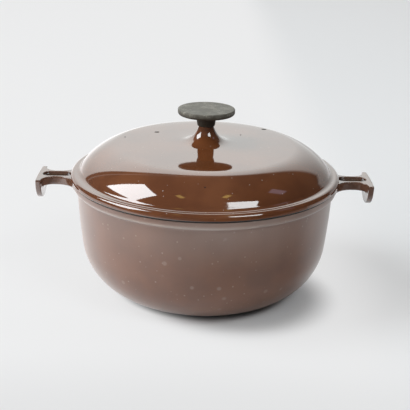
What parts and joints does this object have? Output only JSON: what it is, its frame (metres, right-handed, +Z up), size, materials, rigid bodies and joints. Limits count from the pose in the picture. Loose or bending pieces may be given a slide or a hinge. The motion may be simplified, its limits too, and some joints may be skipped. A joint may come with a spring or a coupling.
{
  "type": "covered casserole",
  "caption": "Round enamelled cast-iron casserole with a big-cornered flat-bottomed pot, T-shaped grooved handles and a lift-off lid with a trumpet stem and a dark disc knob.",
  "frame": {"origin": "centre of the pot's flat base, on the surface it stands on", "axes": "+Z up along the pot's axis, +X and -X towards the two handles"},
  "size_m": [0.3362, 0.268, 0.1869],
  "materials": {
    "enamel": "glossy chocolate-brown vitreous enamel outside, pale enamel inside, worn and speckled",
    "phenolic": "dulled dark grey phenolic with fine scratches",
    "brass": "turned, slightly tarnished",
    "steel": "dull zinc plate"
  },
  "bodies": {
    "pot": {"pot": "enamel"},
    "lid": {"lid": "enamel", "knob": "phenolic", "knob_insert": "brass", "knob_screw": "steel", "flat_washer": "steel", "lock_washer": "steel"}
  },
  "joints": [
    {"name": "lid_lift", "type": "slide", "parent": "pot", "child": "lid", "axis": [0, 0, 1], "range_m": [0, 0.2]}
  ]
}
